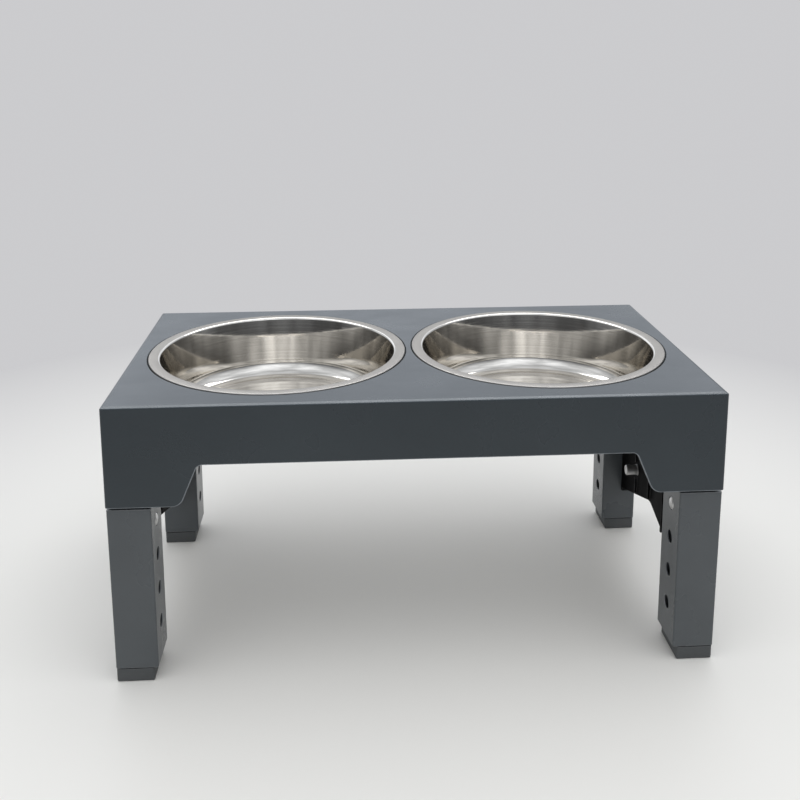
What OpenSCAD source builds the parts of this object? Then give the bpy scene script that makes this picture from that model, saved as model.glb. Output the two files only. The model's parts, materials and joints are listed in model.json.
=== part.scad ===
// Raised feeder for a dog: a moulded tray with two steel bowls on folding, telescoping legs.
// X runs along the tray, Y from front to rear, Z up. The origin is on the floor under the tray's middle.

/* [Tray] */
// Length of the tray
tray_w = 440; // [410:1:480]
// Depth of the tray from front to rear
tray_d = 242; // [236:1:260]
// Height of the tray's top above the floor, legs shortest
stand_h = 210; // [200:1:230]
// Depth of the skirt at the corners
skirt_h = 74; // [70:1:80]
// Depth of the apron between the corners
apron_h = 43.5; // [30:0.5:50]
// Wall of the skirt
tray_wall = 2.6; // [2:0.1:3]
// Thickness of the top plate
top_t = 3; // [2.5:0.1:4]
// Radius of the tray's upright corners
corner_r = 2; // [1:0.1:6]
// Radius of the upright corners inside the skirt
inner_corner_r = 1; // [0.5:0.1:4]
// Width of the bevel round the top
bevel_w = 3; // [2:0.1:6]
// Drop of the bevel round the top
bevel_drop = 1; // [0.6:0.1:3]
// Flat foot of each corner, measured from the corner
tab_w = 52; // [46:1:60]
// Run of the slanted edge between corner and apron
tab_slant = 13; // [8:1:20]
// Rounding where the slanted edge meets the foot of the corner
tab_r = 9; // [4:0.5:12]
// Rounding where the slanted edge meets the apron
apron_r = 5; // [3:0.5:8]
// Depth of the stiffening rib between the bowls
rib_h = 16; // [10:1:24]
// Thickness of the stiffening rib
rib_t = 2.2; // [1.5:0.1:3]
// Distance between the short ribs beside a bowl
rib_step = 42; // [34:1:48]

/* [Bowls] */
// Gap between the two bowls' rims
bowl_gap = 6; // [3:0.5:10]
// Outer diameter of the flat rim
rim_dia = 205; // [196:1:208]
// Width of the flat rim
rim_w = 9; // [8:0.5:12]
// Depth of a bowl inside
bowl_depth = 50; // [40:1:50]
// Inward lean of the wall over the bowl's depth
wall_lean = 6.5; // [5:0.5:12]
// Rounding between a bowl's wall and its floor
heel_r = 13; // [8:0.5:14]
// Diameter of the raised floor
floor_dia = 122; // [100:1:130]
// Rise of the floor
floor_rise = 1.6; // [0.8:0.1:2.5]
// Run of the slopes round the raised floor and its round
floor_slope = 2.5; // [1.5:0.1:4]
// Sheet thickness of the bowls
sheet_t = 0.9; // [0.7:0.1:1.2]
// Height of the rim above the tray's top
rim_rise = 0.5; // [0.4:0.1:1.5]
// Depth of the seat that the rim lies in
seat_drop = 1.2; // [0.8:0.1:1.5]
// Diameter of the raised round in the floor
bead_dia = 84; // [60:1:95]
// Rise of the round in the floor
bead_rise = 1; // [0.6:0.1:2]

/* [Legs] */
// Width of a leg sleeve along the tray
leg_w = 31; // [29:0.5:31.5]
// Depth of a leg sleeve from front to rear
leg_d = 36; // [34:0.5:37]
// Rounding of a sleeve's upright edges
leg_r = 1.3; // [1:0.1:3]
// Inward lean of a sleeve's outer face over its length
leg_lean = 0.6; // [0.2:0.1:2]
// Wall of a sleeve
sleeve_wall = 2.6; // [2.4:0.1:3]
// Gap between the tray's corner and a sleeve
leg_seam = 2.4; // [0.8:0.1:3]
// Clearance of an inner leg in its sleeve, each side
slide_gap = 0.35; // [0.3:0.05:0.5]
// Wall of an inner leg
inner_wall = 2.2; // [1.8:0.1:2.6]
// Length of inner leg that stays above the button
inner_above = 9; // [8:0.5:10]

/* [Height holes] */
// Number of height holes in a sleeve
hole_count = 4; // [3:1:4]
// Distance from one height hole to the next
hole_pitch = 26.6; // [20:0.1:27]
// Diameter of a height hole
hole_dia = 9.8; // [9.6:0.1:11]
// Height of the top hole below the sleeve's top
hole_drop = 16.6; // [15:0.1:18.5]
// Skin left in front of the groove that the button runs in
groove_skin = 1.2; // [1:0.1:1.4]

/* [Buttons] */
// Diameter of a button
button_dia = 9.2; // [8:0.1:9.4]
// Diameter of the collar behind a button
collar_dia = 12.4; // [12:0.1:14]
// Thickness of the collar
collar_t = 2; // [1.5:0.1:2.5]
// Thickness of the leaf spring's strip
strip_t = 0.8; // [0.6:0.1:1]
// Width of the leaf spring's strip
strip_w = 8; // [6:0.5:10]
// Length of the leaf spring below the button
strip_drop = 26; // [20:1:32]

/* [Feet] */
// Height of a foot
foot_h = 10.2; // [8:0.1:12]
// Distance a foot stands back from its sleeve at the front and rear
foot_inset = 0.6; // [0.4:0.1:2.2]
// Distance a foot stands back from its sleeve's inner face
foot_in = 3.2; // [2:0.1:3.2]
// Distance a foot stands back from its sleeve's outer face
foot_out = 0.1; // [0.1:0.1:2]
// Gap between a foot and its sleeve
foot_seam = 0.9; // [0.4:0.1:1.4]
// Rounding of a foot's edges
foot_r = 1.8; // [1:0.1:4]
// Height of the plug that holds a foot in its leg
plug_h = 12; // [8:0.5:16]

/* [Hinges] */
// Distance of a hinge in from the tray's end
pivot_in = 26.5; // [25.5:0.5:27.5]
// Height of a hinge above the corner's foot
pivot_rise = 17.5; // [16.5:0.5:19]
// Diameter of a hinge pin's head
pin_head_dia = 9; // [8:0.1:10]
// Diameter of a hinge pin
pin_dia = 6; // [5:0.1:7]
// Radial clearance of a hinge pin
pin_gap = 0.05; // [0.03:0.01:0.1]
// Radius of the hub on a sleeve
hub_r = 10; // [8.5:0.5:11]
// Thickness of a bracket's cheeks
cheek_t = 3; // [2.5:0.1:3.5]
// Thickness of a bracket's base
base_t = 3.5; // [3:0.1:4.5]
// Height of the bosses that carry a bracket
boss_h = 7.5; // [5:0.5:10]
// Diameter of the bosses that carry a bracket
boss_dia = 9; // [8:0.5:10]
// Distance between a bracket's two screws
screw_pitch = 12; // [10:0.5:13]

/* [Stretchers] */
// Thickness of a stretcher's web
web_t = 4; // [3:0.1:4.5]
// Distance of the web from the tray's end
web_in = 9.5; // [9:0.5:12]
// Height of the web's lower edge at the legs
web_low = 42; // [36:1:48]
// Height of the web's lower edge in the middle
web_arch = 69; // [60:0.5:74]
// Distance of the web's upper edge below the sleeves' tops
web_drop = 8.8; // [6:0.2:16]
// Rounding of the arch's top
arch_r = 14; // [6:1:24]
// Thickness of the end flanges on the legs
flange_t = 3; // [2.5:0.1:4]
// Width of the end flanges
flange_w = 11; // [10:0.5:11.5]
// Distance of the flange screws from the web's lower and upper edges
flange_screw_in = 18; // [12:1:24]
// Height of the web's ribs
web_rib = 2.5; // [1.5:0.1:3]
// Distance of the pull stud behind the middle
stud_back = 36; // [20:1:50]
// Height of the pull stud
stud_z = 81; // [76:1:94]
// Diameter of the pull stud
stud_dia = 8.8; // [7:0.1:12]
// Length of the pull stud
stud_l = 10.5; // [6:0.5:11]

/* [Screws] */
// Diameter of the screws
screw_dia = 2.9; // [2.5:0.1:3]
// Diameter of the screws' heads
head_dia = 6.4; // [5.5:0.1:7]
// Height of the screws' heads
head_h = 1.8; // [1.4:0.1:2.4]

/* [Hidden] */
$fn = 64;
eps = 0.01;

// Clearances
fold_gap = 0.4;
seat_gap = 0.3;
cheek_gap = 0.3;
button_gap = 0.1;
plug_gap = 0.1;
dome_gap = 0.3;
screw_gap = 0.05;
spring_gap = 0.1;
screw_short = 0.2;
throat_gap = 2;
seat_clear = 0.8;
groove_clear = 0.5;
cheek_margin = 1;
cut = 1;

// Heights
skirt_z = stand_h - skirt_h;
apron_z = stand_h - apron_h;
under_z = stand_h - top_t;
sleeve_z1 = skirt_z - leg_seam;
sleeve_z0 = foot_h + foot_seam;
button_z = sleeve_z1 - hole_drop;
inner_z1 = button_z + inner_above;
pivot_z = skirt_z + pivot_rise;
base_z1 = under_z - boss_h;
base_z0 = base_z1 - base_t;
web_z1 = sleeve_z1 - web_drop;

// Plan of the right rear corner
half_w = tray_w / 2;
half_d = tray_d / 2;
leg_x1 = half_w;
leg_x0 = leg_x1 - leg_w;
leg_y1 = half_d - tray_wall - fold_gap;
leg_y0 = leg_y1 - leg_d;
leg_y = (leg_y0 + leg_y1) / 2;
bore_x0 = leg_x0 + sleeve_wall;
bore_x1 = leg_x1 - leg_lean - sleeve_wall;
bore_y0 = leg_y0 + sleeve_wall;
bore_y1 = leg_y1 - sleeve_wall;
inner_x0 = bore_x0 + slide_gap;
inner_x1 = bore_x1 - slide_gap;
inner_y0 = bore_y0 + slide_gap;
inner_y1 = bore_y1 - slide_gap;
hollow_x0 = inner_x0 + inner_wall;
hollow_x1 = inner_x1 - inner_wall;
hollow_y0 = inner_y0 + inner_wall;
hollow_y1 = inner_y1 - inner_wall;
pivot_x = half_w - pivot_in;
cheek_r = hub_r + cheek_margin;
cheek_y0 = leg_y0 + cheek_gap;
cheek_y1 = leg_y1 - cheek_gap;
hub_y0 = cheek_y0 + cheek_t + cheek_gap;
hub_y1 = cheek_y1 - cheek_t - cheek_gap;
web_x1 = half_w - web_in;
web_x0 = web_x1 - web_t;
flange_y = leg_y0 - flange_t;
flange_screw_x = (web_x1 + web_x0 + flange_w) / 2;
flange_z = [web_low + flange_screw_in, web_z1 - flange_screw_in];
flange_bite = sleeve_wall * 0.8;
groove_x = leg_x0 + groove_skin;
groove_w = collar_dia + 2 * groove_clear;
dome_x = groove_x + dome_gap;
dome_rise = inner_x0 - dome_x;
dome_r = (pow(button_dia / 2, 2) + pow(dome_rise, 2)) / (2 * dome_rise);
collar_x = hollow_x0 + button_gap;
spring_x0 = collar_x + collar_t;
bowl_pitch = rim_dia + bowl_gap;
rib_reach = half_d - tray_wall / 2;
bowl_hole_r = rim_dia / 2 - rim_w + throat_gap;
seat_r = rim_dia / 2 + seat_clear;
pilot_depth = 6;
tube_r = 1;
hollow_r = 0.5;
sides = [["left", -1], ["right", 1]];
ends = [["front", -1], ["rear", 1]];

// Points on the arc that rounds the corner q between p and s
function unit(v) = v / norm(v);
function fillet(p, q, s, r, n = 8) =
  let (
    u = unit(p - q),
    v = unit(s - q),
    half = acos(u * v) / 2,
    c = q + unit(u + v) * r / sin(half),
    a = q + u * r / tan(half) - c,
    b = q + v * r / tan(half) - c,
    start = atan2(a[1], a[0]),
    turn = (atan2(b[1], b[0]) - start + 540) % 360 - 180
  )
  [for (i = [0:n]) c + r * [cos(start + turn * i / n), sin(start + turn * i / n)]];

// An outline whose corners are rounded by the radii beside them
function rounded(pts, radii) =
  let (n = len(pts))
  [for (i = [0:n - 1])
    each radii[i] > 0
      ? fillet(pts[(i + n - 1) % n], pts[i], pts[(i + 1) % n], radii[i])
      : [pts[i]]];

// Extrudes an outline drawn in X and Z along Y, or one drawn in Y and Z along X
module along_y(y0, y1) {
  translate([0, y1, 0]) rotate([90, 0, 0]) linear_extrude(height = y1 - y0) children();
}
module along_x(x0, x1) {
  translate([x0, 0, 0]) rotate([90, 0, 90]) linear_extrude(height = x1 - x0) children();
}

// Puts the right rear corner's piece at the corner that a name's two words give
module at_corner(end, side) {
  mirror([side < 0 ? 1 : 0, 0, 0]) mirror([0, end < 0 ? 1 : 0, 0]) children();
}

module round_rect(x0, y0, x1, y1, r) {
  translate([x0 + r, y0]) square([x1 - x0 - 2 * r, y1 - y0]);
  translate([x0, y0 + r]) square([x1 - x0, y1 - y0 - 2 * r]);
  for (x = [x0 + r, x1 - r], y = [y0 + r, y1 - r]) translate([x, y]) circle(r);
}

module round_bar(x0, y0, x1, y1, r, z0, z1) {
  translate([0, 0, z0]) linear_extrude(height = z1 - z0) round_rect(x0, y0, x1, y1, r);
}

// Cross-section of the tray's block over a half width, with the bevel at its top
module bevelled(half) {
  polygon([
    [-half, skirt_z], [half, skirt_z], [half, stand_h - bevel_drop], [half - bevel_w, stand_h],
    [bevel_w - half, stand_h], [-half, stand_h - bevel_drop]
  ]);
}

// Opening under the apron of a wall with this half length
module arch(half) {
  foot = half - tab_w;
  top = foot - tab_slant;
  out = half + 10;
  low = skirt_z - 10;
  polygon(rounded(
    [[-top, apron_z], [top, apron_z], [foot, skirt_z], [out, skirt_z], [out, low], [-out, low],
      [-out, skirt_z], [-foot, skirt_z]],
    [apron_r, apron_r, tab_r, 0, 0, 0, 0, tab_r]
  ));
}

module tray_shell() {
  difference() {
    intersection() {
      round_bar(-half_w, -half_d, half_w, half_d, corner_r, skirt_z, stand_h);
      along_y(-half_d, half_d) bevelled(half_w);
      along_x(-half_w, half_w) bevelled(half_d);
    }
    round_bar(
      tray_wall - half_w, tray_wall - half_d, half_w - tray_wall, half_d - tray_wall,
      inner_corner_r, skirt_z - cut, under_z
    );
    along_y(-half_d - cut, half_d + cut) arch(half_w);
    along_x(-half_w - cut, half_w + cut) arch(half_d);
  }
}

module tray() {
  color([0.36, 0.38, 0.41]) difference() {
    union() {
      tray_shell();
      for (side = [-1, 1]) translate([side * bowl_pitch / 2, 0, under_z - rib_h / 2])
        cylinder(r = bowl_hole_r + rib_t, h = rib_h / 2 + eps, $fn = 128);
      for (side = [-1, 1], step = [-1:1]) translate([side * bowl_pitch / 2, 0, under_z - rib_h / 2]) {
        translate([step * rib_step - rib_t / 2, -rib_reach, 0])
          cube([rib_t, 2 * rib_reach, rib_h / 2 + eps]);
        mirror([side < 0 ? 1 : 0, 0, 0]) translate([0, step * rib_step - rib_t / 2, 0])
          cube([half_w - tray_wall / 2 - bowl_pitch / 2, rib_t, rib_h / 2 + eps]);
      }
      translate([-rib_t / 2, -rib_reach, under_z - rib_h]) cube([rib_t, 2 * rib_reach, rib_h + eps]);
      for (side = [-1, 1], end = [-1, 1], step = [-1, 1])
        translate([side * (pivot_x + step * screw_pitch / 2), end * leg_y, base_z1])
          cylinder(d = boss_dia, h = boss_h + eps);
    }
    for (side = [-1, 1]) translate([side * bowl_pitch / 2, 0, 0]) {
      translate([0, 0, under_z - rib_h - cut])
        cylinder(r = bowl_hole_r, h = rib_h + top_t + 2 * cut, $fn = 128);
      translate([0, 0, stand_h - seat_drop]) cylinder(r = seat_r, h = seat_drop + cut, $fn = 128);
    }
    for (side = [-1, 1], end = [-1, 1], step = [-1, 1])
      translate([side * (pivot_x + step * screw_pitch / 2), end * leg_y, base_z1 - eps])
        cylinder(d = screw_dia + 2 * screw_gap, h = pilot_depth);
  }
}

// Half profile of a bowl: its inner face outwards to the rim, then back under it by the sheet
module bowl(side) {
  top = stand_h + rim_rise;
  rim_r = rim_dia / 2;
  mouth_r = rim_r - rim_w;
  wall_r = mouth_r - wall_lean;
  low = top - bowl_depth;
  floor_z = low + floor_rise;
  bead_z = floor_z + bead_rise;
  floor_r = floor_dia / 2;
  bead_r = bead_dia / 2;
  floor_soft = 1.5;
  mouth_soft = 2;
  lip_z = stand_h - seat_drop + seat_gap;
  inner = rounded(
    [[0, bead_z], [bead_r, bead_z], [bead_r + floor_slope, floor_z], [floor_r, floor_z],
      [floor_r + floor_slope, low], [wall_r, low], [mouth_r, top], [rim_r - sheet_t, top]],
    [0, floor_soft, floor_soft, floor_soft, floor_soft, heel_r, mouth_soft, 0]
  );
  outer = rounded(
    [[rim_r - sheet_t, top - sheet_t], [mouth_r + sheet_t, top - sheet_t],
      [wall_r + sheet_t, low - sheet_t], [floor_r + floor_slope, low - sheet_t],
      [floor_r, floor_z - sheet_t], [bead_r + floor_slope, floor_z - sheet_t],
      [bead_r, bead_z - sheet_t], [0, bead_z - sheet_t]],
    [0, mouth_soft - sheet_t, heel_r + sheet_t, floor_soft, floor_soft, floor_soft, floor_soft, 0]
  );
  color([0.78, 0.79, 0.80]) translate([side * bowl_pitch / 2, 0, 0]) rotate_extrude($fn = 128)
    polygon(concat(
      inner,
      [[rim_r, top - sheet_t * 0.6], [rim_r, lip_z], [rim_r - sheet_t, lip_z]],
      outer
    ));
}

// Clevis under the tray that a leg hangs from
module bracket(end, side) {
  color([0.07, 0.07, 0.075]) at_corner(end, side) difference() {
    union() {
      for (y = [cheek_y0, cheek_y1 - cheek_t]) along_y(y, y + cheek_t) {
        translate([pivot_x, pivot_z]) circle(cheek_r);
        translate([pivot_x - cheek_r, pivot_z]) square([2 * cheek_r, base_z1 - pivot_z]);
      }
      translate([pivot_x - cheek_r, cheek_y0, base_z0])
        cube([2 * cheek_r, cheek_y1 - cheek_y0, base_t]);
    }
    translate([pivot_x, cheek_y1 + cut, pivot_z]) rotate([90, 0, 0])
      cylinder(d = pin_dia + 2 * pin_gap, h = cheek_y1 - cheek_y0 + 2 * cut);
    for (step = [-1, 1]) translate([pivot_x + step * screw_pitch / 2, leg_y, base_z0 - cut])
      cylinder(d = screw_dia + 2 * screw_gap, h = base_t + 2 * cut);
  }
}

module hinge_pins() {
  color([0.72, 0.73, 0.74]) for (side = [-1, 1], end = [-1, 1]) at_corner(end, side)
    translate([pivot_x, cheek_y1, pivot_z]) rotate([90, 0, 0]) {
      cylinder(d = pin_dia, h = cheek_y1 - cheek_y0 + eps);
      translate([0, 0, cheek_y1 - cheek_y0]) cylinder(d = pin_head_dia, h = head_h);
    }
}

module screw(l) {
  translate([0, 0, -head_h]) cylinder(d = head_dia, h = head_h);
  translate([0, 0, -eps]) cylinder(d = screw_dia, h = l + eps);
}

module bracket_screws() {
  color([0.72, 0.73, 0.74]) for (side = [-1, 1], end = [-1, 1], step = [-1, 1])
    at_corner(end, side) translate([pivot_x + step * screw_pitch / 2, leg_y, base_z0])
      screw(base_t + pilot_depth - cut);
}

// Outside of a sleeve: straight on its inner side, leaning in on its outer side
module sleeve_block() {
  spare = 6;
  lean = atan(leg_lean / (sleeve_z1 - sleeve_z0));
  intersection() {
    round_bar(leg_x0, leg_y0, leg_x1 + spare, leg_y1, leg_r, sleeve_z0, sleeve_z1);
    translate([leg_x1, 0, sleeve_z1]) rotate([0, lean, 0])
      round_bar(-leg_w - spare, leg_y0, 0, leg_y1, leg_r, sleeve_z0 - sleeve_z1 - spare, spare);
  }
}

// Outer leg with its hinge hub, height holes and the groove that the button runs in
module sleeve(end, side) {
  neck_z = sleeve_z1 - sleeve_wall / 2;
  color([0.34, 0.36, 0.38]) at_corner(end, side) difference() {
    union() {
      sleeve_block();
      along_y(hub_y0, hub_y1) {
        translate([pivot_x, pivot_z]) circle(hub_r);
        polygon([
          [pivot_x - hub_r, pivot_z], [pivot_x + hub_r, pivot_z],
          [leg_x1 - leg_r * 2, neck_z], [leg_x0 + leg_r, neck_z]
        ]);
      }
    }
    round_bar(bore_x0, bore_y0, bore_x1, bore_y1, tube_r, sleeve_z0 - cut, sleeve_z1 - sleeve_wall);
    translate([groove_x, leg_y - groove_w / 2, sleeve_z0 - cut])
      cube([sleeve_wall, groove_w, button_z + groove_w / 2 - sleeve_z0 + cut]);
    for (i = [0:hole_count - 1]) translate([leg_x0 - cut, leg_y, button_z - i * hole_pitch])
      rotate([0, 90, 0]) cylinder(d = hole_dia, h = sleeve_wall + cut);
    translate([pivot_x, hub_y1 + cut, pivot_z]) rotate([90, 0, 0])
      cylinder(d = pin_dia + 2 * pin_gap, h = hub_y1 - hub_y0 + 2 * cut);
    for (z = flange_z) translate([flange_screw_x, leg_y0 - cut, z]) rotate([-90, 0, 0])
      cylinder(d = screw_dia + 2 * screw_gap, h = flange_bite + cut);
  }
}

// Height of the web's lower edge at a distance from the middle
function web_edge(y) = web_arch - (web_arch - web_low) * abs(y) / leg_y0;

// Outline of a stretcher's web in Y and Z, with the shallow arch under it
module web_outline(reach) {
  polygon(rounded(
    [[-reach, web_z1], [-reach, web_edge(reach)], [0, web_arch], [reach, web_edge(reach)], [reach, web_z1]],
    [0, 0, arch_r, 0, 0]
  ));
}

// Upright rib on the inner side of a web, between two heights
module web_rib_bar(y, z0, z1) {
  translate([web_x0 - web_rib, y - rib_t / 2, z0]) cube([web_rib + web_t / 2, rib_t, z1 - z0]);
}

// Black panel that ties the front and rear legs of one side
module stretcher(side) {
  margin = 2;
  stud_room = stud_dia / 2 + 3;
  color([0.05, 0.05, 0.055]) at_corner(1, side) difference() {
    union() {
      along_x(web_x0, web_x1) web_outline(leg_y0 - flange_t / 2);
      for (end = [-1, 1]) mirror([0, end < 0 ? 1 : 0, 0])
        translate([web_x0, flange_y, web_low - margin])
          cube([flange_w, flange_t, web_z1 - web_low + 2 * margin]);
      for (y = [-stud_back, 0]) web_rib_bar(y, web_edge(y) + margin, web_z1 - margin);
      web_rib_bar(stud_back, web_edge(stud_back) + margin, stud_z - stud_room);
      web_rib_bar(stud_back, stud_z + stud_room, web_z1 - margin);
    }
    for (end = [-1, 1], z = flange_z) mirror([0, end < 0 ? 1 : 0, 0])
      translate([flange_screw_x, flange_y - cut, z]) rotate([-90, 0, 0])
        cylinder(d = screw_dia + 2 * screw_gap, h = flange_t + 2 * cut);
    translate([web_x0 - web_rib - cut, stud_back, stud_z]) rotate([0, 90, 0])
      cylinder(d = stud_dia / 2 + 2 * screw_gap, h = web_t + web_rib + 2 * cut);
  }
}

module stretcher_screws(side) {
  color([0.72, 0.73, 0.74]) for (end = [-1, 1], z = flange_z) at_corner(end, side)
    translate([flange_screw_x, flange_y, z]) rotate([-90, 0, 0])
      screw(flange_t + flange_bite - screw_short);
}

// Steel stud that a hand takes hold of to swing a pair of legs out
module pull_stud(side) {
  collar = 1;
  round_r = 0.8;
  color([0.75, 0.76, 0.77]) at_corner(1, side) translate([web_x0, stud_back, stud_z]) rotate([0, -90, 0])
    rotate_extrude() polygon(rounded(
      [[0, -web_t], [stud_dia / 4, -web_t], [stud_dia / 4, 0], [stud_dia / 2 + collar / 2, 0],
        [stud_dia / 2 + collar / 2, collar], [stud_dia / 2, collar], [stud_dia / 2, stud_l], [0, stud_l]],
      [0, 0, 0, 0, collar / 4, 0, round_r, 0]
    ));
}

// Square tube that slides in a sleeve
module inner_leg(end, side) {
  color([0.33, 0.35, 0.37]) at_corner(end, side) difference() {
    round_bar(inner_x0, inner_y0, inner_x1, inner_y1, tube_r, foot_h, inner_z1);
    round_bar(hollow_x0, hollow_y0, hollow_x1, hollow_y1, hollow_r, foot_h - cut, inner_z1 + cut);
    translate([inner_x0 - cut, leg_y, button_z]) rotate([0, 90, 0])
      cylinder(d = button_dia + 2 * button_gap, h = inner_wall + 2 * cut);
  }
}

// Side view of a foot, with its lower corners rounded
module foot_side(from, to) {
  polygon(rounded([[from, 0], [to, 0], [to, foot_h], [from, foot_h]], [foot_r, foot_r, 0, 0]));
}

// Rubber foot with a plug that fills the end of the inner leg
module foot(end, side) {
  x0 = leg_x0 + foot_in;
  x1 = leg_x1 - leg_lean - foot_out;
  y0 = leg_y0 + foot_inset;
  y1 = leg_y1 - foot_inset;
  color([0.22, 0.23, 0.24]) at_corner(end, side) {
    intersection() {
      round_bar(x0, y0, x1, y1, foot_r, 0, foot_h);
      along_y(y0, y1) foot_side(x0, x1);
      along_x(x0, x1) foot_side(y0, y1);
    }
    round_bar(
      hollow_x0 + plug_gap, hollow_y0 + plug_gap, hollow_x1 - plug_gap, hollow_y1 - plug_gap,
      hollow_r, foot_h - eps, foot_h + plug_h
    );
  }
}

// Domed button that shows in a height hole
module button(end, side) {
  color([0.80, 0.81, 0.82]) at_corner(end, side) translate([0, leg_y, button_z]) {
    intersection() {
      translate([dome_x - cut, 0, 0]) rotate([0, 90, 0])
        cylinder(d = button_dia, h = collar_x - dome_x + cut + eps);
      translate([dome_x + dome_r, 0, 0]) sphere(r = dome_r, $fn = 96);
    }
    translate([inner_x0 + dome_rise, 0, 0]) rotate([0, 90, 0])
      cylinder(d = button_dia, h = collar_x - inner_x0 - dome_rise + eps);
    translate([collar_x, 0, 0]) rotate([0, 90, 0]) cylinder(d = collar_dia, h = collar_t);
  }
}

// Bent strip that pushes a button out: one arm on the collar, the other on the far wall
module spring(end, side) {
  x0 = spring_x0 + spring_gap;
  x1 = hollow_x1 - spring_gap;
  bend_r = 3;
  knee_r = 4;
  top = button_z + collar_dia / 2;
  knee = button_z - collar_dia / 2;
  low = button_z - strip_drop;
  mid = (x0 + x1) / 2;
  outer = rounded(
    [[x0, top], [x0, knee], [mid - bend_r, low], [mid + bend_r, low], [x1, knee], [x1, top]],
    [0, knee_r, bend_r, bend_r, knee_r, 0]
  );
  inner = rounded(
    [[x1 - strip_t, top], [x1 - strip_t, knee], [mid + bend_r - strip_t, low + strip_t],
      [mid - bend_r + strip_t, low + strip_t], [x0 + strip_t, knee], [x0 + strip_t, top]],
    [0, knee_r, bend_r - strip_t, bend_r - strip_t, knee_r, 0]
  );
  color([0.55, 0.56, 0.58]) at_corner(end, side)
    along_y(leg_y - strip_w / 2, leg_y + strip_w / 2) polygon(concat(outer, inner));
}

tray();
for (s = sides) {
  bowl(s[1]);
  stretcher(s[1]);
  stretcher_screws(s[1]);
  pull_stud(s[1]);
  for (e = ends) {
    bracket(e[1], s[1]);
    sleeve(e[1], s[1]);
    inner_leg(e[1], s[1]);
    foot(e[1], s[1]);
    button(e[1], s[1]);
    spring(e[1], s[1]);
  }
}
hinge_pins();
bracket_screws();
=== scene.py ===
import json
import math

import bmesh
import bpy
from mathutils import Matrix, Vector


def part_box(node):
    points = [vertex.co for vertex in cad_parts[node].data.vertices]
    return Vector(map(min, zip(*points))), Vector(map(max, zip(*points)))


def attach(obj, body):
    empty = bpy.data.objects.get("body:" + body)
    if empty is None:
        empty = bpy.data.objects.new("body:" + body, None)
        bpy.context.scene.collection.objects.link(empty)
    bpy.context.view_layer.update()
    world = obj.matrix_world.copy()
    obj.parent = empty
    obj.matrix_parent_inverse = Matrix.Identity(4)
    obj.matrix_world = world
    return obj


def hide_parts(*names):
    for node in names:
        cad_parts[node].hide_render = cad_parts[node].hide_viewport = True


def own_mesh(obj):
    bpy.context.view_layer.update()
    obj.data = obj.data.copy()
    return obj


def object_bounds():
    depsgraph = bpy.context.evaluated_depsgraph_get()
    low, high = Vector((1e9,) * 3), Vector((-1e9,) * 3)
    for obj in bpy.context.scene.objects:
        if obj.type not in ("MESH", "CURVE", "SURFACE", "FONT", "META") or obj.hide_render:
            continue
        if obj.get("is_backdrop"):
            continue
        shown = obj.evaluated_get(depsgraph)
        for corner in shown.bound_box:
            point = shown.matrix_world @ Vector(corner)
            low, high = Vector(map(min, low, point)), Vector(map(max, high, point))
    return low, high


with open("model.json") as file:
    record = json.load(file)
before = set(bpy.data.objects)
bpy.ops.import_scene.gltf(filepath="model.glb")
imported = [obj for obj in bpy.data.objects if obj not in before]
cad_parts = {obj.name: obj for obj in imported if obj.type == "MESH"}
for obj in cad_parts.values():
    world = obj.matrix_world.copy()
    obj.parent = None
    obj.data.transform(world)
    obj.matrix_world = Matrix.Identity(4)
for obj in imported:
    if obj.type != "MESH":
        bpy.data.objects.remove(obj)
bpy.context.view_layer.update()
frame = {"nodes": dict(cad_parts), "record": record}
nodes = frame["nodes"]
mm = 0.001
signOf = {"left": -1, "right": 1, "front": -1, "rear": 1}
sides = ["left", "right"]
corners = [(end, side) for end in ("front", "rear") for side in sides]
print("frame loaded:", len(nodes), "nodes")


def middle(node):
    low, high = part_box(node)
    return (low + high) / 2


# shader nodes, for the materials and the room

def startMaterial(name):
    material = bpy.data.materials.new(name)
    material.use_nodes = True
    tree = material.node_tree
    place = tree.nodes.new("ShaderNodeTexCoord")
    return material, tree, tree.nodes["Principled BSDF"], place.outputs["Object"]


def addNoise(tree, source, scale, detail=2.0, stretch=None):
    if stretch:
        mapping = tree.nodes.new("ShaderNodeMapping")
        mapping.inputs["Scale"].default_value = stretch
        tree.links.new(source, mapping.inputs["Vector"])
        source = mapping.outputs["Vector"]
    noise = tree.nodes.new("ShaderNodeTexNoise")
    noise.inputs["Scale"].default_value = scale
    noise.inputs["Detail"].default_value = detail
    tree.links.new(source, noise.inputs["Vector"])
    return noise.outputs["Fac"]


def addRange(tree, value, low, high, fromLow=0.3, fromHigh=0.7):
    fit = tree.nodes.new("ShaderNodeMapRange")
    fit.inputs["From Min"].default_value = fromLow
    fit.inputs["From Max"].default_value = fromHigh
    fit.inputs["To Min"].default_value = low
    fit.inputs["To Max"].default_value = high
    tree.links.new(value, fit.inputs["Value"])
    return fit.outputs["Result"]


def addTones(tree, value, low, high, fromLow=0.3, fromHigh=0.7):
    ramp = tree.nodes.new("ShaderNodeValToRGB")
    ramp.color_ramp.elements[0].position = fromLow
    ramp.color_ramp.elements[0].color = (*low, 1)
    ramp.color_ramp.elements[1].position = fromHigh
    ramp.color_ramp.elements[1].color = (*high, 1)
    tree.links.new(value, ramp.inputs["Fac"])
    return ramp.outputs["Color"]


def addSum(tree, first, second, share):
    add = tree.nodes.new("ShaderNodeMath")
    add.operation = "MULTIPLY_ADD"
    add.inputs[1].default_value = share
    tree.links.new(second, add.inputs[0])
    tree.links.new(first, add.inputs[2])
    return add.outputs["Value"]


def addProduct(tree, first, second):
    times = tree.nodes.new("ShaderNodeMath")
    times.operation = "MULTIPLY"
    tree.links.new(first, times.inputs[0])
    tree.links.new(second, times.inputs[1])
    return times.outputs["Value"]


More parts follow.
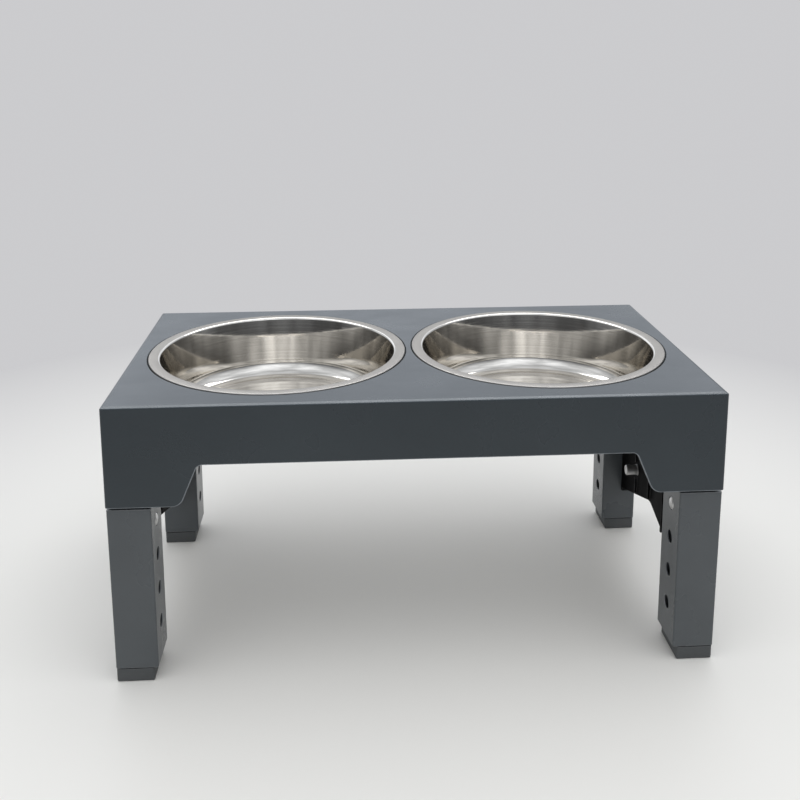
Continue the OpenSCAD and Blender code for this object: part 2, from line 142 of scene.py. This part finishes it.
def addBump(tree, shader, height, depth):
    bump = tree.nodes.new("ShaderNodeBump")
    bump.inputs["Strength"].default_value = 1.0
    bump.inputs["Distance"].default_value = depth
    tree.links.new(height, bump.inputs["Height"])
    tree.links.new(bump.outputs["Normal"], shader.inputs["Normal"])


# the second tone is a plain colour or another node's
def mixTones(tree, share, first, second):
    mix = tree.nodes.new("ShaderNodeMix")
    mix.data_type = "RGBA"
    tree.links.new(share, mix.inputs["Factor"])
    tree.links.new(first, mix.inputs["A"])
    if isinstance(second, tuple):
        mix.inputs["B"].default_value = (*second, 1)
    else:
        tree.links.new(second, mix.inputs["B"])
    return mix.outputs["Result"]


# satin moulded plastic: fine spark grain, slow mottling, handling smears, and a painted highlight on its rounded
# edges
mouldWearAndHighlight = {
    "mottleDetail": 3.0, "speckSize": 0.35, "speckShare": 0.35, "toneFrom": (0.45, 0.95),
    "patch": (90, 3.0), "patchSpan": (0.45, 1.0), "smear": (26, 4.0), "smearStretch": (1.0, 1.7, 0.8),
    "grainDetail": 1.0, "pits": (160, 2.0), "pitShare": 0.6,
}


def mouldedPlastic(name, look):
    wear = mouldWearAndHighlight
    material, tree, shader, place = startMaterial(name)
    mottle = addNoise(tree, place, look["mottle"], wear["mottleDetail"])
    speck = addNoise(tree, place, look["grain"] * wear["speckSize"])
    cloud = addSum(tree, mottle, speck, wear["speckShare"])
    tones = addTones(tree, cloud, look["dark"], look["pale"], *wear["toneFrom"])
    # painted highlight: rounded edges are painted the paler edge tone, in patches
    edge = tree.nodes.new("ShaderNodeAttribute")
    edge.attribute_name = "paintedEdgeHighlight"
    patch = addRange(tree, addNoise(tree, place, *wear["patch"]), *wear["patchSpan"])
    highlightShare = addProduct(tree, edge.outputs["Fac"], patch)
    tree.links.new(mixTones(tree, highlightShare, tones, look["edgeHighlight"]), shader.inputs["Base Color"])
    smear = addNoise(tree, place, *wear["smear"], stretch=wear["smearStretch"])
    tree.links.new(addRange(tree, smear, *look["gloss"]), shader.inputs["Roughness"])
    grain = addNoise(tree, place, look["grain"], wear["grainDetail"])
    pits = addNoise(tree, place, *wear["pits"])
    addBump(tree, shader, addSum(tree, grain, pits, wear["pitShare"]), look["depth"])
    shader.inputs["Specular IOR Level"].default_value = look["sheen"]
    shader.inputs["Specular Tint"].default_value = (*look["tint"], 1)
    return material


# pressed steel: rings left by polishing run round the bowl's own axis, under a light haze
polishWear = {"ringDetail": 3.0, "haze": (45, 3.0), "hazeGloss": 0.8, "glossFrom": (0.6, 1.2), "hazeBump": 0.5}


def turnedSteel(name, look, axis):
    wear = polishWear
    material, tree, shader, place = startMaterial(name)
    mapping = tree.nodes.new("ShaderNodeMapping")
    mapping.inputs["Location"].default_value = (-axis, 0, 0)
    tree.links.new(place, mapping.inputs["Vector"])
    flat = tree.nodes.new("ShaderNodeVectorMath")
    flat.operation = "MULTIPLY"
    flat.inputs[1].default_value = (1, 1, 0)
    tree.links.new(mapping.outputs["Vector"], flat.inputs[0])
    reach = tree.nodes.new("ShaderNodeVectorMath")
    reach.operation = "LENGTH"
    tree.links.new(flat.outputs["Vector"], reach.inputs[0])
    rings = tree.nodes.new("ShaderNodeTexNoise")
    rings.noise_dimensions = "1D"
    rings.inputs["Scale"].default_value = look["rings"]
    rings.inputs["Detail"].default_value = wear["ringDetail"]
    tree.links.new(reach.outputs["Value"], rings.inputs["W"])
    haze = addNoise(tree, mapping.outputs["Vector"], *wear["haze"])
    tree.links.new(addTones(tree, rings.outputs["Fac"], look["dark"], look["pale"]), shader.inputs["Base Color"])
    gloss = addSum(tree, rings.outputs["Fac"], haze, wear["hazeGloss"])
    tree.links.new(addRange(tree, gloss, *look["gloss"], *wear["glossFrom"]), shader.inputs["Roughness"])
    addBump(tree, shader, addSum(tree, rings.outputs["Fac"], haze, wear["hazeBump"]), look["depth"])
    shader.inputs["Metallic"].default_value = look["metal"]
    shader.inputs["Specular Tint"].default_value = (*look["edge"], 1)
    return material


# plated or bare steel of the small parts
plateWear = {"cloudDetail": 4.0, "scratch": (900, 2.0), "stretch": (1.0, 0.15, 1.0)}


def platedSteel(name, look):
    wear = plateWear
    material, tree, shader, place = startMaterial(name)
    cloud = addNoise(tree, place, look["cloud"], wear["cloudDetail"])
    tree.links.new(addTones(tree, cloud, look["dark"], look["pale"]), shader.inputs["Base Color"])
    scratch = addNoise(tree, place, *wear["scratch"], stretch=wear["stretch"])
    tree.links.new(addRange(tree, scratch, *look["gloss"]), shader.inputs["Roughness"])
    addBump(tree, shader, scratch, look["depth"])
    shader.inputs["Metallic"].default_value = 1.0
    return material


# each plastic's paler edge tone is a painted highlight on its rounded edges
# the tray and the legs share one plastic: the tray's copy is pushed darker, as painted shade for its front faces
slatePlasticPaintedShade = mouldedPlastic("slatePlasticPaintedShade", {
    "dark": (0.0115, 0.0168, 0.0198), "pale": (0.0185, 0.0252, 0.0290), "edgeHighlight": (0.20, 0.22, 0.24),
    "gloss": (0.26, 0.34), "grain": 2400, "mottle": 14, "depth": 0.00003, "sheen": 0.64,
    "tint": (0.88, 0.94, 1.0),
})
# the legs' copy is lighter, as painted light for the bounce the legs catch
legPlasticPaintedLight = mouldedPlastic("legPlasticPaintedLight", {
    "dark": (0.056, 0.064, 0.070), "pale": (0.069, 0.078, 0.085), "edgeHighlight": (0.18, 0.19, 0.20),
    "gloss": (0.24, 0.34), "grain": 2400, "mottle": 18, "depth": 0.00003, "sheen": 0.5,
    "tint": (1, 1, 1),
})
# black plastic with its base pushed darker than real, as painted shade for the parts under the tray
blackPlasticPaintedShade = mouldedPlastic("blackPlasticPaintedShade", {
    "dark": (0.003, 0.003, 0.003), "pale": (0.006, 0.006, 0.0065), "edgeHighlight": (0.070, 0.071, 0.073),
    "gloss": (0.52, 0.68), "grain": 1800, "mottle": 22, "depth": 0.00006, "sheen": 0.04,
    "tint": (1, 1, 1),
})
footRubber = mouldedPlastic("footRubber", {
    "dark": (0.054, 0.059, 0.062), "pale": (0.068, 0.073, 0.076), "edgeHighlight": (0.11, 0.115, 0.12),
    "gloss": (0.50, 0.64), "grain": 1500, "mottle": 40, "depth": 0.00006, "sheen": 0.4,
    "tint": (1, 1, 1),
})
brightPlate = platedSteel("brightPlate", {
    "dark": (0.62, 0.62, 0.62), "pale": (0.80, 0.80, 0.79), "gloss": (0.30, 0.42), "cloud": 260, "depth": 0.000004,
})
satinPlate = platedSteel("satinPlate", {
    "dark": (0.40, 0.40, 0.40), "pale": (0.54, 0.54, 0.53), "gloss": (0.34, 0.46), "cloud": 260, "depth": 0.000004,
})
zincPlate = platedSteel("zincPlate", {
    "dark": (0.42, 0.43, 0.45), "pale": (0.60, 0.61, 0.62), "gloss": (0.26, 0.42), "cloud": 420, "depth": 0.00001,
})
springSteel = platedSteel("springSteel", {
    "dark": (0.30, 0.30, 0.31), "pale": (0.44, 0.44, 0.45), "gloss": (0.22, 0.36), "cloud": 300, "depth": 0.000006,
})
print("materials made")


# helpers for meshes: merging distances, and angles in degrees
meshRule = {"merge": 0.001 * mm, "solidMerge": 0.002 * mm, "flat": 0.3, "crease": 10, "flatWeight": 50}


def looseObject(name, bm):
    piece = bpy.data.objects.new(name, bpy.data.meshes.new(name))
    bm.to_mesh(piece.data)
    bm.free()
    bpy.context.scene.collection.objects.link(piece)
    return piece


def finishPiece(name, bm, materials, body, replaced):
    bmesh.ops.remove_doubles(bm, verts=bm.verts, dist=meshRule["merge"])
    piece = looseObject(name, bm)
    for material in materials:
        piece.data.materials.append(material)
    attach(piece, body)
    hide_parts(*replaced)
    return piece


# a moulded piece: the solid's own shape with its sharp edges rounded, and its rounded edges below a height marked
# for a painted highlight
def roundedCopy(node, radius, leastAngle, segments=2, highlightBelow=math.inf):
    bm = bmesh.new()
    bm.from_mesh(nodes[node].data)
    bmesh.ops.remove_doubles(bm, verts=bm.verts, dist=meshRule["solidMerge"])
    bmesh.ops.dissolve_limit(bm, angle_limit=math.radians(meshRule["flat"]), verts=bm.verts, edges=bm.edges)
    # bevel faces below the height are marked for the painted edge highlight
    highlightMarks = bm.faces.layers.float.new("paintedEdgeHighlight")
    sharp = [e for e in bm.edges if len(e.link_faces) == 2 and e.calc_face_angle(0) > math.radians(leastAngle)]
    made = bmesh.ops.bevel(bm, geom=sharp, offset=radius, offset_type="OFFSET", affect="EDGES", segments=segments,
                           profile=0.5, material=-1, clamp_overlap=False, loop_slide=True)
    for face in made["faces"]:
        face[highlightMarks] = 1.0 if face.calc_center_median().z < highlightBelow else 0.0
    for face in bm.faces:
        face.smooth = True
    return bm


def shadeByAngle(piece, degrees):
    piece.data.set_sharp_from_angle(angle=math.radians(degrees))


# flat faces stay flat up to their rounded edges
def shadeFlats(piece, degrees):
    shadeByAngle(piece, degrees)
    weigh = piece.modifiers.new("flatFaces", "WEIGHTED_NORMAL")
    weigh.mode = "FACE_AREA"
    weigh.weight = meshRule["flatWeight"]
    weigh.keep_sharp = True


# a shallow bevel keeps its own shade, with a crisp line where it meets the flat or turns a corner
def creaseBevel(piece, slope):
    bm = bmesh.new()
    bm.from_mesh(piece.data)
    for edge in bm.edges:
        steeper = min(face.normal.z for face in edge.link_faces)
        if slope[0] < steeper < slope[1] and edge.calc_face_angle(0) > math.radians(meshRule["crease"]):
            edge.smooth = False
    bm.to_mesh(piece.data)
    bm.free()


# a turned piece: a profile of (radius, height, rounding) spun about Z, with more steps in its large bends
bendRule = {"large": 4 * mm, "largeSteps": 14, "smallSteps": 5}


def turned(profile, steps):
    bm = bmesh.new()
    verts = [bm.verts.new((r, 0, z)) for r, z, soft in profile]
    for pair in zip(verts, verts[1:]):
        bm.edges.new(pair)
    for vert, (r, z, soft) in zip(verts, profile):
        if soft > 0:
            segments = bendRule["largeSteps"] if soft > bendRule["large"] else bendRule["smallSteps"]
            bmesh.ops.bevel(bm, geom=[vert], offset=soft, offset_type="OFFSET", affect="VERTICES", segments=segments,
                            profile=0.5, material=-1, clamp_overlap=True)
    bmesh.ops.spin(bm, geom=bm.verts[:] + bm.edges[:], cent=(0, 0, 0), axis=(0, 0, 1), angle=math.tau, steps=steps,
                   use_merge=True)
    bmesh.ops.remove_doubles(bm, verts=bm.verts, dist=meshRule["merge"])
    bmesh.ops.recalc_face_normals(bm, faces=bm.faces)
    for face in bm.faces:
        face.smooth = True
    return bm


# tray: its rounded edges get the painted highlight only below the border of the top
trayLook = {"edge": 0.7 * mm, "segments": 3, "angle": 28, "shade": 34, "border": 4 * mm, "bevel": (0.93, 0.97)}
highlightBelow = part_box("tray")[1].z - trayLook["border"]
bm = roundedCopy("tray", trayLook["edge"], trayLook["angle"], trayLook["segments"], highlightBelow)
tray = finishPiece("trayShell", bm, [slatePlasticPaintedShade], "tray", ["tray"])
shadeFlats(tray, trayLook["shade"])
creaseBevel(tray, trayLook["bevel"])
print("tray made:", len(tray.data.polygons), "faces")


# bowls: polished inside and below, with a satin rim that starts part of the way round the mouth's bend
bowlSize = {
    "rimWide": 9 * mm, "lean": 6.5 * mm, "floor": 61 * mm, "floorRise": 1.6 * mm, "round": 42 * mm,
    "roundRise": 1 * mm, "slope": 2.5 * mm, "soft": 0.7 * mm, "heel": 11.4 * mm, "mouthSoft": 1.7 * mm,
    "satinFrom": 0.7, "sheet": 0.9 * mm, "lip": 1.4 * mm, "steps": 160, "shade": 40,
}
polishedLook = {
    "rings": 5200, "dark": (0.645, 0.61, 0.555), "pale": (0.745, 0.71, 0.655), "gloss": (0.03, 0.09),
    "depth": 0.000002, "metal": 0.985, "edge": (1, 1, 1),
}
satinLook = {
    "rings": 7000, "dark": (0.365, 0.348, 0.325), "pale": (0.447, 0.428, 0.404), "gloss": (0.34, 0.44),
    "depth": 0.000008, "metal": 0.985, "edge": (0.5, 0.49, 0.47),
}


def makeBowl(side, size):
    lowest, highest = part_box("bowl_" + side)
    axis, rim, top = (lowest.x + highest.x) / 2, (highest.x - lowest.x) / 2, highest.z
    mouth = rim - size["rimWide"]
    low = lowest.z + size["sheet"]
    floorZ = low + size["floorRise"]
    roundZ = floorZ + size["roundRise"]
    polished = turnedSteel("polishedSteel_" + side, polishedLook, axis)
    satin = turnedSteel("satinRim_" + side, satinLook, axis)
    profile = [
        (0, roundZ, 0),
        (size["round"], roundZ, size["soft"]),
        (size["round"] + size["slope"], floorZ, size["soft"]),
        (size["floor"], floorZ, size["soft"]),
        (size["floor"] + size["slope"], low, size["soft"]),
        (mouth - size["lean"], low, size["heel"]),
        (mouth, top, size["mouthSoft"]),
        (rim, top, size["soft"]),
        (rim, top - size["lip"], 0),
    ]
    bm = turned(profile, size["steps"])
    bmesh.ops.transform(bm, matrix=Matrix.Translation((axis, 0, 0)), verts=bm.verts)
    if sum(f.normal.z * f.calc_area() for f in bm.faces) < 0:
        bmesh.ops.reverse_faces(bm, faces=bm.faces)
    for face in bm.faces:
        centre = face.calc_center_median()
        reach = math.hypot(centre.x - axis, centre.y)
        face.material_index = 1 if reach > mouth + size["mouthSoft"] * size["satinFrom"] else 0
    bmesh.ops.solidify(bm, geom=bm.faces[:], thickness=size["sheet"])
    bowl = finishPiece("pressedBowl_" + side, bm, [polished, satin], "bowl_" + side, ["bowl_" + side])
    shadeByAngle(bowl, size["shade"])
    return bowl


for side in sides:
    bowl = makeBowl(side, bowlSize)
print("bowls made:", len(bowl.data.polygons), "faces each")


# legs, feet and the black parts; the legs' plastic is painted lighter and the black plastic darker, as painted light
# and painted shade
rigidLook = {
    "sleeve": {"edge": 0.45 * mm, "angle": 30, "shade": 35, "material": legPlasticPaintedLight, "slot": "leg"},
    "inner_leg": {"edge": 0.35 * mm, "angle": 40, "shade": 35, "material": legPlasticPaintedLight, "slot": "leg"},
    "foot": {"edge": 0.3 * mm, "angle": 40, "shade": 35, "material": footRubber, "slot": "foot"},
    "bracket": {"edge": 0.4 * mm, "angle": 40, "shade": 35, "material": blackPlasticPaintedShade, "slot": "bracket"},
    "stretcher": {"edge": 0.4 * mm, "angle": 40, "shade": 35, "material": blackPlasticPaintedShade, "slot": "bracket"},
}
bodyOf = {node: body for body, members in frame["record"]["behaviour"]["bodies"].items() for node in members}
for kind, look in rigidLook.items():
    spots = sides if kind == "stretcher" else [end + "_" + side for end, side in corners]
    for spot in spots:
        node = kind + "_" + spot
        bm = roundedCopy(node, look["edge"], look["angle"])
        piece = finishPiece("rounded_" + node, bm, [look["material"]], bodyOf[node], [node])
        shadeFlats(piece, look["shade"])
print("legs, feet, brackets and stretchers made")


# turned steel parts, each made about Z and then laid along its own axis
def layAlong(bm, origin, direction):
    turn = Vector((0, 0, 1)).rotation_difference(Vector(direction)).to_matrix().to_4x4()
    bmesh.ops.transform(bm, matrix=Matrix.Translation(origin) @ turn, verts=bm.verts)
    return bm


def joinAll(parts):
    whole = bmesh.new()
    for part in parts:
        mesh = bpy.data.meshes.new("part")
        part.to_mesh(mesh)
        part.free()
        whole.from_mesh(mesh)
        bpy.data.meshes.remove(mesh)
    return whole


# the dome stands in its hole, further out than the solid, which stops behind the sleeve's skin;
# crown and brow are shares of the radius and of the dome's fall, with a rounding
buttonSize = {
    "further": 2.5 * mm, "radius": 4.7 * mm, "dome": 1.7 * mm, "crown": (0.55, 0.16, 1.2 * mm),
    "brow": (0.9, 0.6, 0.9 * mm), "shoulder": 0.6 * mm, "collar": 6.2 * mm, "collarThick": 2 * mm,
    "collarSoft": 0.3 * mm, "steps": 40, "shade": 40,
}


def makeButton(end, side, size):
    node = "button_" + end + "_" + side
    sign = signOf[side]
    reach = [abs(corner.x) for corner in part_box(node)]
    tip = min(reach) - size["further"]
    back = max(reach) - size["collarThick"] - tip
    radius, dome, crown, brow = size["radius"], size["dome"], size["crown"], size["brow"]
    profile = [
        (0, 0, 0),
        (radius * crown[0], -dome * crown[1], crown[2]),
        (radius * brow[0], -dome * brow[1], brow[2]),
        (radius, -dome, size["shoulder"]),
        (radius, -back, 0),
        (size["collar"], -back, size["collarSoft"]),
        (size["collar"], -back - size["collarThick"], size["collarSoft"]),
        (0, -back - size["collarThick"], 0),
    ]
    spot = middle(node)
    bm = layAlong(turned(profile, size["steps"]), (sign * tip, spot.y, spot.z), (-sign, 0, 0))
    button = finishPiece("domed_" + node, bm, [brightPlate], node, [node])
    shadeByAngle(button, size["shade"])


for end, side in corners:
    makeButton(end, side, buttonSize)
print("buttons made")


# pull stud: a neck through the stretcher's web, a collar and a dished face; dishWide is in shares of the radius
studSize = {
    "radius": 4.4 * mm, "neck": 2.2 * mm, "neckSoft": 0.4 * mm, "collar": 4.9 * mm, "collarThick": 1 * mm,
    "collarSoft": (0.2 * mm, 0.3 * mm), "web": 4 * mm, "rootSoft": 0.2 * mm, "soft": 0.7 * mm, "dish": 0.25 * mm,
    "dishWide": (0.62, 0.5), "dishSoft": 0.3 * mm, "steps": 48, "shade": 35,
}


def makeStud(side, size):
    node = "pull_stud_" + side
    outer = max(abs(corner.x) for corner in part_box(node))
    length = outer - min(abs(corner.x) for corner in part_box(node)) - size["web"]
    radius = size["radius"]
    profile = [
        (0, -size["web"], 0),
        (size["neck"], -size["web"], size["neckSoft"]),
        (size["neck"], 0, 0),
        (size["collar"], 0, size["collarSoft"][0]),
        (size["collar"], size["collarThick"], size["collarSoft"][1]),
        (radius, size["collarThick"], size["rootSoft"]),
        (radius, length, size["soft"]),
        (radius * size["dishWide"][0], length, size["dishSoft"]),
        (radius * size["dishWide"][1], length - size["dish"], size["dishSoft"]),
        (0, length - size["dish"], 0),
    ]
    spot = middle(node)
    foot = (signOf[side] * (outer - size["web"]), spot.y, spot.z)
    bm = layAlong(turned(profile, size["steps"]), foot, (-signOf[side], 0, 0))
    stud = finishPiece("turned_" + node, bm, [satinPlate], "legs_" + side, [node])
    shadeByAngle(stud, size["shade"])


for side in sides:
    makeStud(side, studSize)
print("pull studs made")


# a rounded head below the origin and the start of its shank above; crown and brow are shares of the head
def headProfile(size):
    head, tall, shank = size["head"], size["headTall"], size["shank"]
    return [
        (0, -tall, 0),
        (head * size["crown"], -tall, size["crownSoft"]),
        (head, -tall * size["brow"], size["browSoft"]),
        (head, 0, size["edge"]),
        (shank, 0, size["edge"]),
    ]


# pan-head screws with a cross recess
screwSize = {
    "head": 3.2 * mm, "headTall": 1.8 * mm, "crown": 0.6, "crownSoft": 0.7 * mm, "brow": 0.45, "browSoft": 0.5 * mm,
    "edge": 0.1 * mm, "shank": 1.45 * mm, "taper": 0.8, "taperSoft": 0.2 * mm, "arm": 1.9 * mm, "slot": 0.42 * mm,
    "deep": 1.1 * mm, "narrow": 0.55, "steps": 32, "shade": 35,
}
screwPlace = {"apart": 12 * mm, "bracketLength": 8.5 * mm, "flange": 3 * mm, "flangeLength": 4.8 * mm}


def makeScrew(size, length):
    shank = [(size["shank"], length * size["taper"], size["taperSoft"]), (0, length, 0)]
    blank = looseObject("screwBlank", turned(headProfile(size) + shank, size["steps"]))
    tools = []
    for turn in (0, math.pi / 2):
        arm = bmesh.new()
        bmesh.ops.create_cube(arm, size=2.0)
        bmesh.ops.scale(arm, vec=(size["arm"], size["slot"], size["deep"]), verts=arm.verts)
        for vert in arm.verts:
            vert.co.x *= size["narrow"] if vert.co.z > 0 else 1.0  # the recess narrows inwards
        bmesh.ops.rotate(arm, matrix=Matrix.Rotation(turn, 3, "Z"), verts=arm.verts)
        bmesh.ops.translate(arm, vec=(0, 0, -size["headTall"]), verts=arm.verts)
        tools.append(looseObject("recessTool", arm))
        cut = blank.modifiers.new("recess", "BOOLEAN")
        cut.operation = "DIFFERENCE"
        cut.object = tools[-1]
    bpy.context.view_layer.update()
    mesh = bpy.data.meshes.new_from_object(blank.evaluated_get(bpy.context.evaluated_depsgraph_get()))
    for spare in (blank, *tools):
        bpy.data.objects.remove(spare)
    return mesh


def laidScrew(mesh, origin, direction):
    bm = bmesh.new()
    bm.from_mesh(mesh)
    return layAlong(bm, origin, direction)


longScrew = makeScrew(screwSize, screwPlace["bracketLength"])
shortScrew = makeScrew(screwSize, screwPlace["flangeLength"])
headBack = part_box("bracket_screws")[0].z + screwSize["headTall"]
parts = []
for end, side in corners:
    spot = middle("bracket_" + end + "_" + side)
    for step in (-0.5, 0.5):
        parts.append(laidScrew(longScrew, (spot.x + step * screwPlace["apart"], spot.y, headBack), (0, 0, 1)))
screws = finishPiece("panScrews_bracket", joinAll(parts), [zincPlate], "tray", ["bracket_screws"])
shadeByAngle(screws, screwSize["shade"])
for side in sides:
    node = "stretcher_screws_" + side
    low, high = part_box(node)
    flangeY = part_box("stretcher_" + side)[1].y - screwPlace["flange"]
    parts = []
    for sign in (-1, 1):
        for z in (low.z + screwSize["head"], high.z - screwSize["head"]):
            parts.append(laidScrew(shortScrew, (middle(node).x, sign * flangeY, z), (0, sign, 0)))
    bm = joinAll(parts)
    screws = finishPiece("panScrews_stretcher_" + side, bm, [zincPlate], "legs_" + side, [node])
    shadeByAngle(screws, screwSize["shade"])
print("screws made")


# hinge pins, each through one bracket with its head on the inner cheek
pinSize = {
    "head": 4.5 * mm, "headTall": 1.8 * mm, "crown": 0.6, "crownSoft": 0.8 * mm, "brow": 0.4, "browSoft": 0.6 * mm,
    "edge": 0.1 * mm, "shank": 3 * mm, "tipSoft": 0.4 * mm, "steps": 40, "shade": 35,
}
parts = []
for end, side in corners:
    low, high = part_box("bracket_" + end + "_" + side)
    span = high.y - low.y
    profile = headProfile(pinSize) + [(pinSize["shank"], span, pinSize["tipSoft"]), (0, span, 0)]
    start = ((low.x + high.x) / 2, low.y if end == "rear" else high.y, middle("hinge_pins").z)
    parts.append(layAlong(turned(profile, pinSize["steps"]), start, (0, signOf[end], 0)))
pins = finishPiece("riveted_hinge_pins", joinAll(parts), [zincPlate], "tray", ["hinge_pins"])
shadeByAngle(pins, pinSize["shade"])
print("pins made")


# leaf springs beside the arm that stands on the leg's wall: a rounded copy of each, with a mesh of its own
springLook = {"edge": 0.12 * mm, "angle": 40, "shade": 35}
for end, side in corners:
    node = "spring_" + end + "_" + side
    low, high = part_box(node)
    bm = roundedCopy(node, springLook["edge"], springLook["angle"])
    spring = finishPiece("leaf_" + node, bm, [springSteel], bodyOf[node], [node])
    shadeByAngle(spring, springLook["shade"])
    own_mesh(spring)
print("springs made")


# a pale floor that fades into the room's own colour further out
stageLook = {
    "half": 60.0, "floor": (0.77, 0.77, 0.755), "gloss": 0.5, "sheen": 0.2, "far": (0.60, 0.60, 0.615),
    "fade": (0.36, 0.80),
}
bm = bmesh.new()
bmesh.ops.create_grid(bm, x_segments=1, y_segments=1, size=stageLook["half"])
floor = looseObject("floor", bm)
floorMaterial, tree, shader, place = startMaterial("paleFloor")
shader.inputs["Base Color"].default_value = (*stageLook["floor"], 1)
shader.inputs["Roughness"].default_value = stageLook["gloss"]
shader.inputs["Specular IOR Level"].default_value = stageLook["sheen"]
away = tree.nodes.new("ShaderNodeVectorMath")
away.operation = "LENGTH"
tree.links.new(place, away.inputs[0])
fade = addRange(tree, away.outputs["Value"], 0, 1, *stageLook["fade"])
glow = tree.nodes.new("ShaderNodeEmission")
glow.inputs["Color"].default_value = (*stageLook["far"], 1)
blend = tree.nodes.new("ShaderNodeMixShader")
tree.links.new(fade, blend.inputs["Fac"])
tree.links.new(shader.outputs["BSDF"], blend.inputs[1])
tree.links.new(glow.outputs["Emission"], blend.inputs[2])
tree.links.new(blend.outputs["Shader"], tree.nodes["Material Output"].inputs["Surface"])
floor.data.materials.append(floorMaterial)
floor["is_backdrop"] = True

# the room lights the stand evenly; what the gloss mirrors is paler behind than in front, in soft upright streaks,
# dimmer to both sides and near the floor, and a little cool
roomLook = {
    "lit": {"front": 0.85, "behind": 0.75, "above": (0.2, 0.2), "rise": (0.15, 0.95), "zenith": 1.0},
    "mirrored": {"front": 0.19, "behind": 1.22, "above": (1.15, 0.25), "rise": (0.25, 0.6), "zenith": 0.6},
    "depthSpan": (-0.5, 0.7), "zenithSpan": (0.82, 0.97),
    "streak": (0.6, 1.25), "streakScale": 3.2, "streakStretch": (1.0, 1.0, 0.25),
    "aside": 0.6, "asideSpan": (0.3, 0.65), "horizon": 0.4, "horizonSpan": (0.0, 0.16),
    "cool": (0.93, 0.98, 1.06), "seen": (0.60, 0.60, 0.615),
}
world = bpy.data.worlds.new("paleRoom")
world.use_nodes = True
bpy.context.scene.world = world
tree = world.node_tree
background = tree.nodes["Background"]
place = tree.nodes.new("ShaderNodeTexCoord").outputs["Generated"]
split = tree.nodes.new("ShaderNodeSeparateXYZ")
tree.links.new(place, split.inputs["Vector"])


def roomLevel(look):
    depth = addRange(tree, split.outputs["Y"], look["front"], look["behind"], *roomLook["depthSpan"])
    above = addRange(tree, split.outputs["Y"], *look["above"], *roomLook["depthSpan"])
    rise = addRange(tree, split.outputs["Z"], 0, 1, *look["rise"])
    whole = addSum(tree, depth, addProduct(tree, above, rise), 1.0)
    return addProduct(tree, whole, addRange(tree, split.outputs["Z"], 1, look["zenith"], *roomLook["zenithSpan"]))


aside = tree.nodes.new("ShaderNodeMath")
aside.operation = "ABSOLUTE"
tree.links.new(split.outputs["X"], aside.inputs[0])
dimmed = addRange(tree, aside.outputs["Value"], 1, roomLook["aside"], *roomLook["asideSpan"])
horizon = addRange(tree, split.outputs["Z"], roomLook["horizon"], 1, *roomLook["horizonSpan"])
streakNoise = addNoise(tree, place, roomLook["streakScale"], stretch=roomLook["streakStretch"])
mirrored = roomLevel(roomLook["mirrored"])
for share in (dimmed, horizon, addRange(tree, streakNoise, *roomLook["streak"])):
    mirrored = addProduct(tree, mirrored, share)
cool = tree.nodes.new("ShaderNodeVectorMath")
cool.operation = "MULTIPLY"
cool.inputs[1].default_value = roomLook["cool"]
tree.links.new(mirrored, cool.inputs[0])
path = tree.nodes.new("ShaderNodeLightPath")
level = mixTones(tree, path.outputs["Is Glossy Ray"], roomLevel(roomLook["lit"]), cool.outputs["Vector"])
tree.links.new(mixTones(tree, path.outputs["Is Camera Ray"], level, roomLook["seen"]), background.inputs["Color"])

# one lamp lights the stand, and the other only shows in its gloss
lamps = {
    "ceiling": {"at": (0.3, -0.5, 2.3), "to": (0.1, -0.3, 0.1), "size": (3.0, 2.6), "power": 17, "mirrored": False},
    "strip": {"at": (0.0, 1.4, 2.3), "to": (0, -0.12, 0.21), "size": (3.4, 0.8), "power": 34, "mirrored": True},
}
for name, lamp in lamps.items():
    data = bpy.data.lights.new(name, "AREA")
    data.shape = "RECTANGLE"
    data.size, data.size_y = lamp["size"]
    data.energy = lamp["power"]
    light = bpy.data.objects.new(name, data)
    light.location = lamp["at"]
    light.rotation_euler = (Vector(lamp["to"]) - Vector(lamp["at"])).to_track_quat("-Z", "Y").to_euler()
    light.visible_camera = False
    light.visible_glossy = lamp["mirrored"]
    light.visible_diffuse = not lamp["mirrored"]
    bpy.context.scene.collection.objects.link(light)

# camera: turned in radians from looking straight along Y
view = {
    "at": (-0.0517, -0.7603, 0.4523), "turn": (-0.17735, 0.00284, -0.05988), "lens": 43.663, "sensor": 36,
    "shift": -0.225,
}
cameraData = bpy.data.cameras.new("camera")
cameraData.sensor_width = view["sensor"]
cameraData.lens = view["lens"]
cameraData.shift_y = view["shift"]
camera = bpy.data.objects.new("camera", cameraData)
turn = (Matrix.Rotation(view["turn"][2], 3, "Z") @ Matrix.Rotation(view["turn"][1], 3, "Y")
        @ Matrix.Rotation(view["turn"][0], 3, "X"))
camera.matrix_world = Matrix.Translation(view["at"]) @ (turn @ Matrix.Rotation(math.pi / 2, 3, "X")).to_4x4()
bpy.context.scene.collection.objects.link(camera)
bpy.context.scene.camera = camera
bpy.context.scene.view_settings.view_transform = "Standard"
print("floor, lamps and camera set")

low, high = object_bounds()
